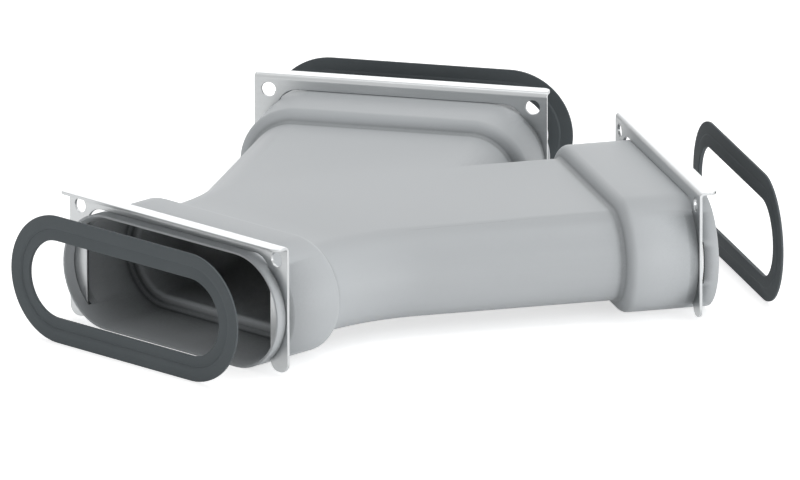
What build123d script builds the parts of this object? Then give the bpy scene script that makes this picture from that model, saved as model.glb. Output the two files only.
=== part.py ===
from build123d import *
from math import sin, cos, tan, radians
import os

os.makedirs("parts", exist_ok=True)

# Flat-oval duct that plugs into each socket, outside sizes
duct_width = 138.0
duct_height = 51.0
duct_clearance = 0.4

# Moulded body
wall = 2.2
shoulder_drop = 6.2
shoulder_round = 4.4
shoulder_slant = 68.0
lead_in_rise = 1.0
lead_in_depth = 5.0
branch_angle = 30.0
bend_radius = 148.2

# Sockets: all of one depth, each with its collar in front of the clip, and the gap between the branches
socket_depth = 39.1
stem_collar = 6.3
branch_collar = 9.1
stem_straight = 8.6
socket_gap = 17.8

# Retaining clip bent from bright steel sheet
clip_sheet = 1.5
clip_overhang = 0.9
clip_rise = 7.0
clip_floor_gap = 1.1
clip_bite = 8.3
clip_lip = 8.4
clip_bend_inside = 1.0
clip_lip_corner = 4.0
clip_opening_corner = 10.0
clip_leg_round = 5.0
clip_seat_gap = 0.1
clip_hole = 7.0
clip_hole_inset = 7.1
clip_hole_drop = 7.5

# Slots through the end walls of each socket, and the window in the branch slots
slot_side_gap = 0.12
slot_end_gap = 1.3
slot_window_height = 20.4
slot_window_front = 1.3

# Rubber ring that belongs on the end of the duct
seal_side_reach = 6.25
seal_top_reach = 5.5
seal_band = 12.1
seal_outer_band = 7.0
seal_thickness = 2.0
seal_step = 0.8
seal_stand_off = 29.7

# Sizes that follow from the ones above
bore_width = duct_width + 2 * duct_clearance
bore_height = duct_height + 2 * duct_clearance
socket_width = bore_width + 2 * wall
socket_height = bore_height + 2 * wall
body_width = socket_width - 2 * shoulder_drop
body_height = socket_height - 2 * shoulder_drop
passage_width = body_width - 2 * wall
passage_height = body_height - 2 * wall
bore_depth = socket_depth + shoulder_round - wall
flat_half = (socket_width - socket_height) / 2
slant = radians(shoulder_slant)
slant_drop = shoulder_drop - shoulder_round * (1 - cos(slant))
shoulder_length = shoulder_round * sin(slant) + slant_drop / tan(slant)
seal_width = duct_width + 2 * seal_side_reach
seal_height = duct_height + 2 * seal_top_reach

# Distances along each axis from the point where the three axes cross
turn = radians(branch_angle)
bend_start = bend_radius * tan(turn / 2)
stem_foot_at = bend_start + stem_straight
stem_shoulder_at = stem_foot_at + shoulder_length
stem_mouth_at = stem_shoulder_at + socket_depth
stem_clip_at = stem_mouth_at - stem_collar
branch_shoulder_at = (socket_gap / 2 + socket_width / 2 * cos(turn)) / sin(turn)
branch_foot_at = branch_shoulder_at - shoulder_length
branch_mouth_at = branch_shoulder_at + socket_depth
branch_clip_at = branch_mouth_at - branch_collar

# The body lies with its socket undersides on the floor, and the rings stand on the same floor
axis_height = socket_height / 2
seal_axis_height = seal_height / 2

# The middle of the whole set in plan is the origin
front_reach = stem_mouth_at + seal_stand_off + seal_thickness / 2
branch_ring_at = branch_mouth_at + seal_stand_off + seal_thickness / 2
rear_reach = branch_ring_at * cos(turn) + seal_width / 2 * sin(turn)
crossing_y = (front_reach - rear_reach) / 2

# Each port has a name, a heading in degrees from +Y towards +X, and its own distances
stem_heading = 180.0
left_heading = -branch_angle
right_heading = branch_angle
ports = [
    ("stem", stem_heading, stem_clip_at, stem_mouth_at, stem_shoulder_at),
    ("left", left_heading, branch_clip_at, branch_mouth_at, branch_shoulder_at),
    ("right", right_heading, branch_clip_at, branch_mouth_at, branch_shoulder_at),
]


def place(along, heading, height=axis_height):
    """Point on a port's axis, counted outward from the crossing of the axes."""
    x = along * sin(radians(heading))
    y = crossing_y + along * cos(radians(heading))
    return (x, y, height)


def outward(heading):
    return (sin(radians(heading)), cos(radians(heading)), 0)


def across(heading):
    return (-cos(radians(heading)), sin(radians(heading)), 0)


def port_plane(along, heading, height=axis_height):
    """Plane square to a port's axis: X across the port, Y up, Z outward."""
    return Plane(origin=place(along, heading, height), x_dir=across(heading), z_dir=outward(heading))


def side_plane(along, heading):
    """Upright plane through a port's axis: X outward, Y up."""
    sideways = (-across(heading)[0], -across(heading)[1], 0)
    return Plane(origin=place(along, heading), x_dir=outward(heading), z_dir=sideways)


def loop_in(edges, plane, half_height):
    """Edges of the flat-oval loop of one size that lies in a port's plane."""
    found = []
    for edge in edges:
        start = plane.to_local_coords(edge @ 0)
        middle = plane.to_local_coords(edge @ 0.5)
        in_plane = abs(start.Z) < 0.01 and abs(middle.Z) < 0.01
        if in_plane and abs(abs(start.Y) - half_height) < 0.01:
            found.append(edge)
    return found


# Shoulder between body and socket, made once: X across, Y up, Z outward, socket end at the origin
with BuildPart() as shoulder:
    with BuildSketch(Plane.YZ):
        with BuildLine():
            rounded = JernArc((socket_height / 2, 0), (0, -1), shoulder_round, -shoulder_slant)
            Polyline(
                rounded @ 1,
                (body_height / 2, -shoulder_length),
                (0, -shoulder_length),
                (0, 0),
                (socket_height / 2, 0),
            )
        make_face()
    extrude(amount=flat_half)
    end_face = shoulder.faces().sort_by(Axis.X)[-1]
    mirror(about=Plane.XZ)
    revolve(end_face, axis=Axis((flat_half, 0, 0), (0, 0, -1)), revolution_arc=180)
    mirror(about=Plane.YZ)

# Moulded body: two bent flat-oval tubes share the stem, and three sockets end them
with BuildPart() as y_body:
    for heading in (left_heading, right_heading):
        with BuildLine() as outer_path:
            Line(place(stem_foot_at, stem_heading), place(bend_start, stem_heading))
            TangentArc(place(bend_start, stem_heading), place(bend_start, heading), tangent=(0, 1, 0))
            Line(place(bend_start, heading), place(branch_foot_at, heading))
        with BuildSketch(port_plane(stem_foot_at, stem_heading)):
            SlotOverall(body_width, body_height)
        sweep(path=outer_path.line)

    # Sockets, each with its shoulder
    for name, heading, clip_at, mouth_at, shoulder_at in ports:
        with Locations(port_plane(shoulder_at, heading)):
            add(shoulder.part)
        with BuildSketch(port_plane(mouth_at, heading)):
            SlotOverall(socket_width, socket_height)
        extrude(amount=shoulder_at - mouth_at)

    # The passages follow the same two bends
    for heading in (left_heading, right_heading):
        with BuildLine() as inner_path:
            Line(place(stem_mouth_at, stem_heading), place(bend_start, stem_heading))
            TangentArc(place(bend_start, stem_heading), place(bend_start, heading), tangent=(0, 1, 0))
            Line(place(bend_start, heading), place(branch_mouth_at, heading))
        with BuildSketch(port_plane(stem_mouth_at, stem_heading)):
            SlotOverall(passage_width, passage_height)
        sweep(path=inner_path.line, mode=Mode.SUBTRACT)

    # Bores for the ducts, each with a stop step at its end and a lead-in at the mouth
    for name, heading, clip_at, mouth_at, shoulder_at in ports:
        mouth = port_plane(mouth_at, heading)
        with BuildSketch(mouth):
            SlotOverall(bore_width, bore_height)
        extrude(amount=-bore_depth, mode=Mode.SUBTRACT)
        rim = y_body.faces().sort_by(lambda f: mouth.to_local_coords(f.center()).Z)[-1]
        lead_in = loop_in(y_body.edges(), mouth, bore_height / 2)
        chamfer(lead_in, length=lead_in_rise, length2=lead_in_depth, reference=rim)

    # Slots for the clip legs: a close slot at full height
    slot_start = bore_width / 2 - clip_bite - slot_end_gap
    slot_reach = socket_width / 2 + wall - slot_start
    slot_middle = slot_start + slot_reach / 2
    for name, heading, clip_at, mouth_at, shoulder_at in ports:
        clip_face = port_plane(clip_at, heading)
        with BuildSketch(clip_face):
            with Locations((-slot_middle, 0), (slot_middle, 0)):
                Rectangle(slot_reach, socket_height)
        extrude(amount=clip_sheet / 2 + slot_side_gap, both=True, mode=Mode.SUBTRACT)

    # The branch slots open into a wider window at mid height
    for heading in (left_heading, right_heading):
        with BuildSketch(port_plane(branch_clip_at, heading)):
            with Locations((-slot_middle, 0), (slot_middle, 0)):
                Rectangle(slot_reach, slot_window_height)
        extrude(amount=clip_sheet / 2 + slot_window_front, mode=Mode.SUBTRACT)

y_body.part.label = "y_body"
export_step(y_body.part, "parts/y_body.step")

# Retaining clips: sheet with a bent lip, an opening from below, round-ended legs and two holes
clip_width = socket_width + 2 * clip_overhang
clip_top = socket_height / 2 + clip_rise
clip_foot = socket_height / 2 - clip_floor_gap
opening_top = socket_height / 2 + clip_seat_gap
opening_width = bore_width - 2 * clip_bite
opening_height = opening_top + clip_foot
half_sheet = clip_sheet / 2
for name, heading, clip_at, mouth_at, shoulder_at in ports:
    clip_face = port_plane(clip_at, heading)
    with BuildPart() as clip:
        with BuildSketch(side_plane(clip_at, heading)) as bent_sheet:
            with BuildLine():
                Polyline(
                    (-half_sheet, -clip_foot),
                    (half_sheet, -clip_foot),
                    (half_sheet, clip_top - clip_sheet),
                    (clip_lip, clip_top - clip_sheet),
                    (clip_lip, clip_top),
                    (-half_sheet, clip_top),
                    close=True,
                )
            make_face()
            upper = bent_sheet.vertices().filter_by(lambda v: v.Y > 0 and v.X < clip_sheet)
            fillet(upper.sort_by(Axis.X)[0], radius=clip_bend_inside + clip_sheet)
            lower = bent_sheet.vertices().filter_by(lambda v: v.Y > 0 and abs(v.X - half_sheet) < 0.01)
            fillet(lower, radius=clip_bend_inside)
        extrude(amount=clip_width / 2, both=True)
        with BuildSketch(clip_face) as opening:
            with Locations((0, opening_top - opening_height / 2)):
                Rectangle(opening_width, opening_height)
            fillet(opening.vertices().group_by(Axis.Y)[-1], radius=clip_opening_corner)
        extrude(amount=clip_sheet, both=True, mode=Mode.SUBTRACT)
        with BuildSketch(clip_face):
            for side in (-1, 1):
                with Locations((side * (clip_width / 2 - clip_hole_inset), clip_top - clip_hole_drop)):
                    Circle(clip_hole / 2)
        extrude(amount=clip_sheet, both=True, mode=Mode.SUBTRACT)
        short_edges = clip.edges().filter_by(lambda e: e.length < clip_sheet + 0.01)
        leg_ends = [e for e in short_edges if abs(clip_face.to_local_coords(e @ 0.5).Y + clip_foot) < 0.01]
        lip_ends = [e for e in short_edges if abs(clip_face.to_local_coords(e @ 0.5).Z - clip_lip) < 0.01]
        fillet(leg_ends, radius=clip_leg_round)
        fillet(lip_ends, radius=clip_lip_corner)
    clip.part.label = name + "_clip"
    export_step(clip.part, "parts/" + name + "_clip.step")

# Rubber rings: a flat back, a thick outer band, and a thin inner band set back from its front
for name, heading, clip_at, mouth_at, shoulder_at in ports:
    ring_at = mouth_at + seal_stand_off
    front = port_plane(ring_at + seal_thickness / 2, heading, seal_axis_height)
    with BuildPart() as seal:
        with BuildSketch(front):
            SlotOverall(seal_width, seal_height)
        extrude(amount=-seal_thickness)
        with BuildSketch(front):
            SlotOverall(seal_width - 2 * seal_outer_band, seal_height - 2 * seal_outer_band)
        extrude(amount=-seal_step, mode=Mode.SUBTRACT)
        with BuildSketch(front):
            SlotOverall(seal_width - 2 * seal_band, seal_height - 2 * seal_band)
        extrude(amount=-seal_thickness, mode=Mode.SUBTRACT)
    seal.part.label = name + "_seal"
    export_step(seal.part, "parts/" + name + "_seal.step")
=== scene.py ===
import math

import bmesh
import bpy
import numpy as np
from mathutils import Matrix, Vector


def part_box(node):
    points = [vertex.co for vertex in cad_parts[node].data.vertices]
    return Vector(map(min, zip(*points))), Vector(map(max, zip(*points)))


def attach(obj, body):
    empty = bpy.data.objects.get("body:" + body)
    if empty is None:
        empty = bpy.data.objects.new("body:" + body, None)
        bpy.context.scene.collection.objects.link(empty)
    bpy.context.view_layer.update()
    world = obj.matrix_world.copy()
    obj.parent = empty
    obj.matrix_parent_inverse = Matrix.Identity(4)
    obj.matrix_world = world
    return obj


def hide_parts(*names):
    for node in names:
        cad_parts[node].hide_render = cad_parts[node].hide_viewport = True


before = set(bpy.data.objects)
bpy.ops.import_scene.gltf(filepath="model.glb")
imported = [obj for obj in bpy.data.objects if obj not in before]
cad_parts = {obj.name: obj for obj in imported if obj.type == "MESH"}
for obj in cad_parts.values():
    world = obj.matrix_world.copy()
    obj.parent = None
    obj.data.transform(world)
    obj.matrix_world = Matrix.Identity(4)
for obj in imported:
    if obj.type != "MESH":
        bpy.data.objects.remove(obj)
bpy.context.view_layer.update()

MM = 0.001

# Photograph: a nearly parallel view, so the camera stands far off with a long lens
PHOTO_WIDTH_PX = 800
PX_PER_MM = 2.116
CAMERA_AZIMUTH = math.radians(44.658)
CAMERA_ELEVATION = math.radians(16.342)
CAMERA_ROLL = math.radians(0.149)
CAMERA_LENS = 1000.0
SENSOR_WIDTH = 36.0
NEAREST_SEEN = 1.0
FARTHEST_SEEN = 100.0
AIM_RIGHT_OF_CROSSING = 42.9 * MM
AIM_ABOVE_CROSSING = 5.14 * MM

# Layout of the fitting, as the frame was packed
BRANCH_ANGLE = math.radians(30)
HEADINGS = {"stem": math.pi, "left": -BRANCH_ANGLE, "right": BRANCH_ANGLE}
SOCKET_HEIGHT = 56.2 * MM

# Rubber ring: a flat outer band, a shallow valley, and an inner band that thickens to its lip.
# Depths are measured from the side that faces the socket, insets from the outer edge.
RING_BAND = 12.1 * MM
RING_DEPTH = 2.0 * MM
RING_SHOULDER = 6.1 * MM
RING_VALLEY = 7.1 * MM
RING_VALLEY_DEPTH = 1.0 * MM
RING_OUTER_BACK_DEPTH = 0.8 * MM
RING_BACK_STEP_START = 5.9 * MM
RING_BACK_STEP_END = 6.6 * MM
RING_BACK_STEP_DEPTH = 0.35 * MM
RING_EDGE = 0.35 * MM
RING_SHOULDER_ROUND = 1.1 * MM
RING_CORNER_STEPS = 5
RING_ARC_STEPS = 56

# Rounds: small on sheet edges, and on the moulding set by depth from the mouth
CLIP_EDGE = 0.3 * MM
MOUTH_ROUND = 0.3 * MM
STOP_DEPTH = 41.3 * MM
STOP_ROUND = 2.0 * MM
FOOT_DEPTH = 44.574 * MM
FOOT_ROUND = 1.3 * MM
BODY_ROUNDS = [(0.0, MOUTH_ROUND), (STOP_DEPTH, STOP_ROUND), (FOOT_DEPTH, FOOT_ROUND)]
EDGE_STEPS = 3
SHARP_ANGLE = math.radians(35)
FLAT_ANGLE = math.radians(0.4)
SAME_PLACE = 0.05 * MM
MERGE_DISTANCE = 1e-6

# Plastic: two near greys, roughness and what clouds and the inside add to it, and the shade painted
# into its colour in creases and inside
PLASTIC_GREYS = [(0.500, 0.524, 0.541, 1.0), (0.530, 0.552, 0.568, 1.0)]
PLASTIC_ROUGHNESS = 0.46
CLOUD_ROUGHNESS = 0.10
INSIDE_ROUGHNESS = 0.4
PLASTIC_SHINE = 0.3
# Painted shade in creases: the colour darkens towards a near black where the piece closes in around
# a point within a short reach
PAINTED_CREASE_SHADE_REACH = 4.5 * MM
PAINTED_CREASE_SHADE_STRENGTH = 3.1
PAINTED_CREASE_SHADE_COLOUR = (0.07, 0.078, 0.082, 1.0)
# Painted shade inside the sockets: the colour darkens to near black the more the piece closes in
# around a point within this reach
INSIDE_REACH = 70.0 * MM
PAINTED_INSIDE_SHADE_STRENGTH = 2.4
PAINTED_INSIDE_SHADE_COLOUR = (0.012, 0.014, 0.015, 1.0)
OUTLOOK_SAMPLES = 8

# Steel, rubber and floor: two near greys each, roughness and what a pattern adds to it
STEEL_GREYS = [(0.47, 0.485, 0.49, 1.0), (0.53, 0.542, 0.548, 1.0)]
STEEL_ROUGHNESS = 0.27
STREAK_ROUGHNESS = 0.08
STREAK_SQUEEZE = (1.0, 1.0, 12.0)
RUBBER_GREYS = [(0.096, 0.110, 0.117, 1.0), (0.124, 0.139, 0.147, 1.0)]
RUBBER_ROUGHNESS = 0.62
BLOOM_ROUGHNESS = 0.15
RUBBER_SHINE = 0.12
FLOOR_GREYS = [(0.90, 0.90, 0.90, 1.0), (0.92, 0.92, 0.92, 1.0)]
FLOOR_ROUGHNESS = 0.8
GRAIN_HEIGHT = 0.1 * MM

# Light that reaches surfaces from the white room, and the floor's own glow where it is seen
WHITE = (1.0, 1.0, 1.0, 1.0)
ROOM_LIGHT = 0.35
FLOOR_GLOW = 0.62
FLOOR_SIZE = 8.0

# Soft panels: name, place, aim, width, height and watts
LAMPS = [
    ("top_light", (0.2, 0.4, 1.6), (0, 0, 0), 1.4, 1.4, 11.0),
    ("side_light", (1.66, 0.3, 0.14), (0, 0, 0.03), 1.4, 0.3, 12.5),
    ("back_light", (-1.1, 1.1, 0.5), (0, 0, 0.03), 1.2, 1.0, 4.2),
    ("front_fill", (-0.2, -0.75, 0.12), (0, -0.1, 0.03), 0.3, 0.2, 0.7),
]


def unit_outward(heading):
    """Direction along a port's axis: sine of the heading in X, cosine in Y."""
    return np.array([math.sin(heading), math.cos(heading), 0.0])


def unit_across(heading):
    """Direction square to a port's axis, level: minus the cosine in X, sine in Y."""
    return np.array([-math.cos(heading), math.sin(heading), 0.0])


def crossing_point():
    """Where the three port axes cross, on the centre line of the sockets.

    Each ring's centre is that point plus a reach times its port's outward direction, so the X
    of the right ring, divided by the sine of its heading, gives the reach.
    """
    low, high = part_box("right_seal")
    centre_x = (low.x + high.x) / 2
    centre_y = (low.y + high.y) / 2
    reach = centre_x / math.sin(BRANCH_ANGLE)
    return np.array([0.0, centre_y - reach * math.cos(BRANCH_ANGLE), SOCKET_HEIGHT / 2])


# Shader maths


class Signal:
    """A socket of a material. Sums, differences and products of signals add Math nodes."""

    def __init__(self, finish, socket):
        self.finish = finish
        self.socket = socket

    def maths(self, operation, first, second):
        return self.finish.node("Math", {"operation": operation}, {0: first, 1: second})

    def __add__(self, other):
        return self.maths("ADD", self, other)

    __radd__ = __add__

    def __sub__(self, other):
        return self.maths("SUBTRACT", self, other)

    def __rsub__(self, other):
        return self.maths("SUBTRACT", other, self)

    def __mul__(self, other):
        return self.maths("MULTIPLY", self, other)

    __rmul__ = __mul__


class Finish:
    """The nodes of one material, or of the room, and one method that adds any node."""

    def __init__(self, owner):
        owner.use_nodes = True
        self.owner = owner
        self.tree = owner.node_tree
        self.tree.nodes.clear()

    def node(self, kind, settings=None, inputs=None, output=0):
        """A node of a kind: its settings first, then its sockets' values or links."""
        made = self.tree.nodes.new("ShaderNode" + kind)
        for key, value in (settings or {}).items():
            setattr(made, key, value)
        for key, value in (inputs or {}).items():
            if isinstance(value, Signal):
                self.tree.links.new(value.socket, made.inputs[key])
            else:
                made.inputs[key].default_value = value
        return Signal(self, made.outputs[output]) if len(made.outputs) else None

    def object_place(self):
        return self.node("TexCoord", output="Object")

    def noise(self, place, per_metre, detail):
        return self.node("TexNoise", {}, {"Vector": place, "Scale": per_metre, "Detail": detail})

    def blend(self, factor, first, second):
        """Colour mixed from first to second by a factor from 0 to 1."""
        return self.node("Mix", {"data_type": "RGBA"}, {0: factor, 6: first, 7: second}, output=2)

    def grain(self, height, strength):
        return self.node("Bump", {}, {
            "Height": height,
            "Strength": strength,
            "Distance": GRAIN_HEIGHT,
        })

    def closed_in(self, reach):
        """Share of the outlook that the piece itself blocks within reach, from 0 to 1."""
        settings = {"samples": OUTLOOK_SAMPLES, "only_local": True}
        return 1 - self.node("AmbientOcclusion", settings, {"Distance": reach}, output="AO")

    def surface(self, shader):
        self.node("OutputMaterial", {}, {"Surface": shader})
        return self.owner

    def seen_directly(self):
        """1 for rays from the eye and for those that a mirror or clear piece passes on, else 0."""
        eye = self.node("LightPath", output="Is Camera Ray")
        mirrored = self.node("LightPath", output="Is Glossy Ray")
        passed = self.node("LightPath", output="Is Transmission Ray")
        return eye + mirrored + passed


def moulded_plastic():
    """Light grey moulded plastic: faint clouding, satin grain, and shade painted into its colour in
    creases and inside.
    """
    f = Finish(bpy.data.materials.new("light_grey_plastic"))
    place = f.object_place()
    cloud = f.noise(place, per_metre=16.0, detail=3.0)
    fine = f.noise(place, per_metre=2600.0, detail=1.0)
    colour = f.blend(cloud, *PLASTIC_GREYS)
    # Painted shade: the colour darkens towards the crease shade where the piece closes in around a
    # crease
    crease_shade_painted = f.blend(f.closed_in(PAINTED_CREASE_SHADE_REACH) * PAINTED_CREASE_SHADE_STRENGTH, colour, PAINTED_CREASE_SHADE_COLOUR)
    # Painted shade: deep inside, the colour darkens towards near black; the same depth also makes
    # the plastic rougher
    inside = f.closed_in(INSIDE_REACH)
    depth = inside * inside
    shaded = f.blend(depth * depth * PAINTED_INSIDE_SHADE_STRENGTH, crease_shade_painted, PAINTED_INSIDE_SHADE_COLOUR)
    shader = f.node("BsdfPrincipled", {}, {
        "Base Color": shaded,
        "Roughness": PLASTIC_ROUGHNESS + cloud * CLOUD_ROUGHNESS + depth * INSIDE_ROUGHNESS,
        "Specular IOR Level": PLASTIC_SHINE,
        "Normal": f.grain(fine, strength=0.12),
    })
    return f.surface(shader)


def sheet_steel():
    """Bright smooth sheet steel with soft gloss and faint rolling streaks."""
    f = Finish(bpy.data.materials.new("bright_sheet_steel"))
    place = f.object_place()
    stretched = f.node("Mapping", {}, {"Vector": place, "Scale": STREAK_SQUEEZE})
    streak = f.noise(stretched, per_metre=60.0, detail=3.0)
    fine = f.noise(place, per_metre=1800.0, detail=1.0)
    shader = f.node("BsdfPrincipled", {}, {
        "Base Color": f.blend(streak, *STEEL_GREYS),
        "Metallic": 1.0,
        "Roughness": STEEL_ROUGHNESS + streak * STREAK_ROUGHNESS,
        "Normal": f.grain(fine, strength=0.05),
    })
    return f.surface(shader)


def ring_rubber():
    """Dark grey seal rubber: dull, finely pitted, with a faint bloom."""
    f = Finish(bpy.data.materials.new("dark_rubber"))
    place = f.object_place()
    bloom = f.noise(place, per_metre=45.0, detail=4.0)
    pits = f.noise(place, per_metre=3000.0, detail=2.0)
    shader = f.node("BsdfPrincipled", {}, {
        "Base Color": f.blend(bloom, *RUBBER_GREYS),
        "Roughness": RUBBER_ROUGHNESS + bloom * BLOOM_ROUGHNESS,
        "Specular IOR Level": RUBBER_SHINE,
        "Normal": f.grain(pits, strength=0.2),
    })
    return f.surface(shader)


def pale_floor():
    """Pale dull floor with faint dust. Where it is seen it also glows, up to white."""
    f = Finish(bpy.data.materials.new("pale_floor"))
    dust = f.noise(f.object_place(), per_metre=8.0, detail=2.0)
    shader = f.node("BsdfPrincipled", {}, {
        "Base Color": f.blend(dust, *FLOOR_GREYS),
        "Roughness": FLOOR_ROUGHNESS,
    })
    glow = f.node("Emission", {}, {"Strength": FLOOR_GLOW})
    both = f.node("AddShader", {}, {0: shader, 1: glow})
    return f.surface(f.node("MixShader", {}, {0: f.seen_directly(), 1: shader, 2: both}))


# Meshes


def mesh_piece(name, points, faces, material):
    """Object at the origin from an array of points and an array of four-cornered faces."""
    mesh = bpy.data.meshes.new(name)
    mesh.from_pydata(points.tolist(), [], faces.tolist())
    mesh.materials.append(material)
    mesh.shade_smooth()
    piece = bpy.data.objects.new(name, mesh)
    bpy.context.scene.collection.objects.link(piece)
    return piece


def flat_oval(half_flat, radius, arc_steps):
    """Points and outward normals of a flat-oval loop, as two arrays.

    Each end is half a circle: centre plus radius times (cosine, sine) of an angle that runs over
    180 degrees. The straight stretches come from joining the ends.
    """
    angle = np.linspace(-math.pi / 2, math.pi / 2, arc_steps + 1)
    normal = np.stack([np.cos(angle), np.sin(angle)], axis=1)
    right = normal * radius + [half_flat, 0.0]
    return np.concatenate([right, -right]), np.concatenate([normal, -normal])


def rounded_section(corners, round_lengths, steps):
    """Closed outline with each corner eased by a parabola.

    The parabola starts a round length before the corner P and ends as far after it: at s from 0
    to 1 its point is (1 - s) squared times its start, plus 2 s (1 - s) P, plus s squared times
    its end.
    """
    corner = np.array(corners, float)
    reach = np.array(round_lengths, float)[:, None]
    before = np.roll(corner, 1, axis=0) - corner
    after = np.roll(corner, -1, axis=0) - corner
    start = corner + before / np.linalg.norm(before, axis=1, keepdims=True) * reach
    end = corner + after / np.linalg.norm(after, axis=1, keepdims=True) * reach
    s = np.linspace(0, 1, steps)[None, :, None]
    eased = (1 - s) ** 2 * start[:, None] + 2 * s * (1 - s) * corner[:, None] + s ** 2 * end[:, None]
    return eased.reshape(-1, 2)


def carried_loop(centre, heading, half_flat, radius, section):
    """Points and faces of a section carried round a flat-oval loop.

    A section point (inset, depth) lands at the loop point, less inset times the loop's normal,
    plus depth along the port's axis. Both directions close on themselves.
    """
    loop, normal = flat_oval(half_flat, radius, RING_ARC_STEPS)
    inset, depth = section[:, 0], section[:, 1]
    flat = loop[:, None] - normal[:, None] * inset[None, :, None]
    up = np.array([0.0, 0.0, 1.0])
    points = centre + flat[..., :1] * unit_across(heading) + flat[..., 1:] * up
    points = points + depth[None, :, None] * unit_outward(heading)
    rows, columns = len(loop), len(section)
    index = np.arange(rows * columns).reshape(rows, columns)
    along = np.roll(index, -1, axis=0)
    faces = np.stack([index, np.roll(index, -1, axis=1), np.roll(along, -1, axis=1), along], axis=-1)
    return points.reshape(-1, 3), faces.reshape(-1, 4)


def ring_section():
    """The ring's section as points (inset, depth), with each corner eased by its own length."""
    corners_and_rounds = [
        (0.0, RING_OUTER_BACK_DEPTH, RING_EDGE),
        (0.0, RING_DEPTH, RING_EDGE),
        (RING_SHOULDER, RING_DEPTH, RING_SHOULDER_ROUND),
        (RING_VALLEY, RING_VALLEY_DEPTH, RING_EDGE),
        (RING_BAND, RING_DEPTH, RING_EDGE),
        (RING_BAND, 0.0, RING_EDGE),
        (RING_BACK_STEP_END, RING_BACK_STEP_DEPTH, RING_EDGE),
        (RING_BACK_STEP_START, RING_OUTER_BACK_DEPTH, RING_EDGE),
    ]
    table = np.array(corners_and_rounds)
    return rounded_section(table[:, :2], table[:, 2], RING_CORNER_STEPS)


def ring_piece(port, material):
    """One seal ring, where the frame has its solid."""
    node = port + "_seal"
    low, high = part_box(node)
    heading = HEADINGS[port]
    middle = np.array([(low.x + high.x) / 2, (low.y + high.y) / 2, (low.z + high.z) / 2])
    back = middle - unit_outward(heading) * RING_DEPTH / 2
    stem_low, stem_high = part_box("stem_seal")
    width, height = stem_high.x - stem_low.x, stem_high.z - stem_low.z
    points, faces = carried_loop(back, heading, (width - height) / 2, height / 2, ring_section())
    return mesh_piece(port + "_seal_ring", points, faces, material)


def face_outward(piece):
    """Turns a closed piece's faces outwards."""
    work = bmesh.new()
    work.from_mesh(piece.data)
    bmesh.ops.recalc_face_normals(work, faces=work.faces)
    work.to_mesh(piece.data)
    work.free()


def edge_angles(mesh):
    """Angle between the two faces at each edge of a closed mesh.

    Sorting the face corners by their edge puts the two faces of each edge side by side, and the
    angle is the arc cosine of the product of their normals.
    """
    edge_of_corner = np.empty(len(mesh.loops), int)
    mesh.loops.foreach_get("edge_index", edge_of_corner)
    corners = np.empty(len(mesh.polygons), int)
    mesh.polygons.foreach_get("loop_total", corners)
    normals = np.empty(len(mesh.polygons) * 3)
    mesh.polygons.foreach_get("normal", normals)
    face_of_corner = np.repeat(np.arange(len(mesh.polygons)), corners)
    pairs = face_of_corner[np.argsort(edge_of_corner, kind="stable")].reshape(-1, 2)
    normals = normals.reshape(-1, 3)[pairs]
    return np.arccos(np.clip((normals[:, 0] * normals[:, 1]).sum(axis=1), -1, 1))


def edge_middles(mesh):
    """Middle of each edge, as an array."""
    points = np.empty(len(mesh.vertices) * 3)
    mesh.vertices.foreach_get("co", points)
    ends = np.empty(len(mesh.edges) * 2, int)
    mesh.edges.foreach_get("vertices", ends)
    return points.reshape(-1, 3)[ends.reshape(-1, 2)].mean(axis=1)


def clip_rounds(middles):
    """The same small round on every edge of a clip."""
    return np.full(len(middles), CLIP_EDGE)


def body_rounds(middles):
    """Round of each body edge, from its depth behind each mouth.

    A mouth is the farthest that the body reaches along its port's axis, and an edge's depth is
    the mouth's distance along that axis less its own. The mould rounds the inner edge of each
    stop step and the foot of each shoulder most, and the rim of the mouth least. Slot edges
    stay as they are cut.
    """
    rounds = np.zeros(len(middles))
    for heading in HEADINGS.values():
        along = middles @ unit_outward(heading)
        depth = along.max() - along
        for place, width in BODY_ROUNDS:
            rounds[np.abs(depth - place) < SAME_PLACE] = width
    return rounds


def softened_copy(node, name, material, rounds):
    """A merged copy of a CAD solid with its sharp edges rounded, each by its own width."""
    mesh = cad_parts[node].data.copy()
    work = bmesh.new()
    work.from_mesh(mesh)
    bmesh.ops.remove_doubles(work, verts=work.verts, dist=MERGE_DISTANCE)
    bmesh.ops.dissolve_limit(work, angle_limit=FLAT_ANGLE, verts=work.verts, edges=work.edges)
    work.to_mesh(mesh)
    work.free()
    mesh.materials.clear()
    mesh.materials.append(material)
    mesh.shade_smooth()
    widths = rounds(edge_middles(mesh)) * (edge_angles(mesh) > SHARP_ANGLE)
    widest = widths.max()
    weight = mesh.attributes.new("bevel_weight_edge", "FLOAT", "EDGE")
    weight.data.foreach_set("value", widths / widest)
    piece = bpy.data.objects.new(name, mesh)
    bpy.context.scene.collection.objects.link(piece)
    edge = piece.modifiers.new("edge", "BEVEL")
    edge.limit_method = "WEIGHT"
    edge.width = widest
    edge.segments = EDGE_STEPS
    edge.harden_normals = True
    edge.use_clamp_overlap = False
    return piece


def flat_faced(piece):
    """Lets a sheet's large faces set the shading, so that they look flat up to their bends."""
    flat = piece.modifiers.new("flat", "WEIGHTED_NORMAL")
    flat.mode = "FACE_AREA"


# Camera, stage and light


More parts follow.
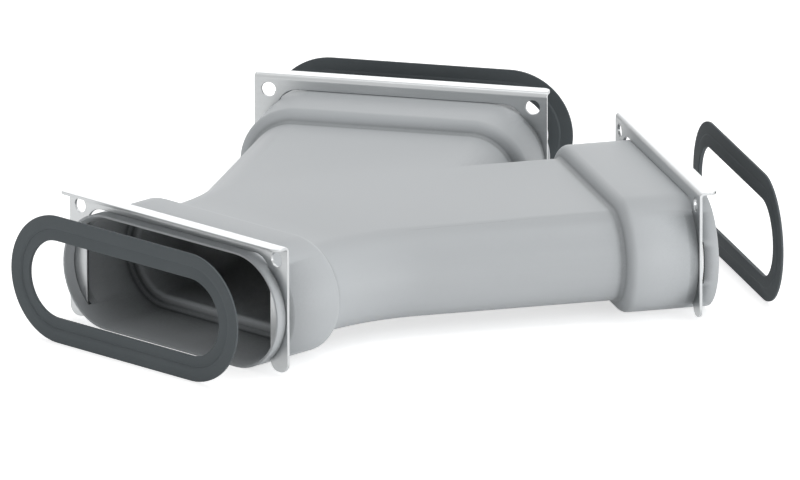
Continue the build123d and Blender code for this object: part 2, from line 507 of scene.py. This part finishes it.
def camera(crossing):
    """Camera on the photograph's line of sight, at the distance where its lens gives the scale."""
    across = np.array([math.cos(CAMERA_AZIMUTH), math.sin(CAMERA_AZIMUTH), 0.0])
    sight = np.array([
        -math.sin(CAMERA_AZIMUTH) * math.cos(CAMERA_ELEVATION),
        math.cos(CAMERA_AZIMUTH) * math.cos(CAMERA_ELEVATION),
        -math.sin(CAMERA_ELEVATION),
    ])
    up = np.cross(across, sight)
    aim = crossing + across * AIM_RIGHT_OF_CROSSING + up * AIM_ABOVE_CROSSING
    view_width = PHOTO_WIDTH_PX / PX_PER_MM * MM
    distance = view_width * CAMERA_LENS / SENSOR_WIDTH
    turned_across = across * math.cos(CAMERA_ROLL) - up * math.sin(CAMERA_ROLL)
    turned_up = up * math.cos(CAMERA_ROLL) + across * math.sin(CAMERA_ROLL)
    data = bpy.data.cameras.new("camera")
    data.lens = CAMERA_LENS
    data.sensor_width = SENSOR_WIDTH
    data.clip_start = NEAREST_SEEN
    data.clip_end = FARTHEST_SEEN
    made = bpy.data.objects.new("camera", data)
    bpy.context.scene.collection.objects.link(made)
    place = np.eye(4)
    place[:3, 0], place[:3, 1], place[:3, 2] = turned_across, turned_up, -sight
    place[:3, 3] = aim - sight * distance
    made.matrix_world = Matrix(place.tolist())
    bpy.context.scene.camera = made


def soft_lamp(name, place, aim, width, height, watts):
    """A soft light panel that faces its aim."""
    data = bpy.data.lights.new(name, "AREA")
    data.shape = "RECTANGLE"
    data.size = width
    data.size_y = height
    data.energy = watts
    lamp = bpy.data.objects.new(name, data)
    bpy.context.scene.collection.objects.link(lamp)
    lamp.location = place
    lamp.rotation_euler = (Vector(aim) - Vector(place)).to_track_quat("-Z", "Y").to_euler()


def stage_and_light():
    """White room: a pale floor that keeps the shadow, white to the eye and in reflections."""
    scene = bpy.context.scene
    scene.view_settings.view_transform = "Standard"
    scene.world = bpy.data.worlds.new("room")
    room = Finish(scene.world)
    strength = ROOM_LIGHT + room.seen_directly() * (1 - ROOM_LIGHT)
    white = room.node("Background", {}, {"Color": WHITE, "Strength": strength})
    room.node("OutputWorld", {}, {"Surface": white})

    corners = np.array([(-1, -1, 0), (1, -1, 0), (1, 1, 0), (-1, 1, 0)]) * FLOOR_SIZE
    floor = mesh_piece("floor", corners, np.array([(0, 1, 2, 3)]), pale_floor())

    for lamp in LAMPS:
        soft_lamp(*lamp)


plastic = moulded_plastic()
sheet = sheet_steel()
rubber = ring_rubber()

camera(crossing_point())
stage_and_light()

body = softened_copy("y_body", "moulded_body", plastic, body_rounds)
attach(body, "root")
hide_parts("y_body")

for port in HEADINGS:
    clip = softened_copy(port + "_clip", port + "_clip_sheet", sheet, clip_rounds)
    flat_faced(clip)
    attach(clip, "root")
    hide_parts(port + "_clip")

    ring = ring_piece(port, rubber)
    face_outward(ring)
    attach(ring, "root")
    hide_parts(port + "_seal")
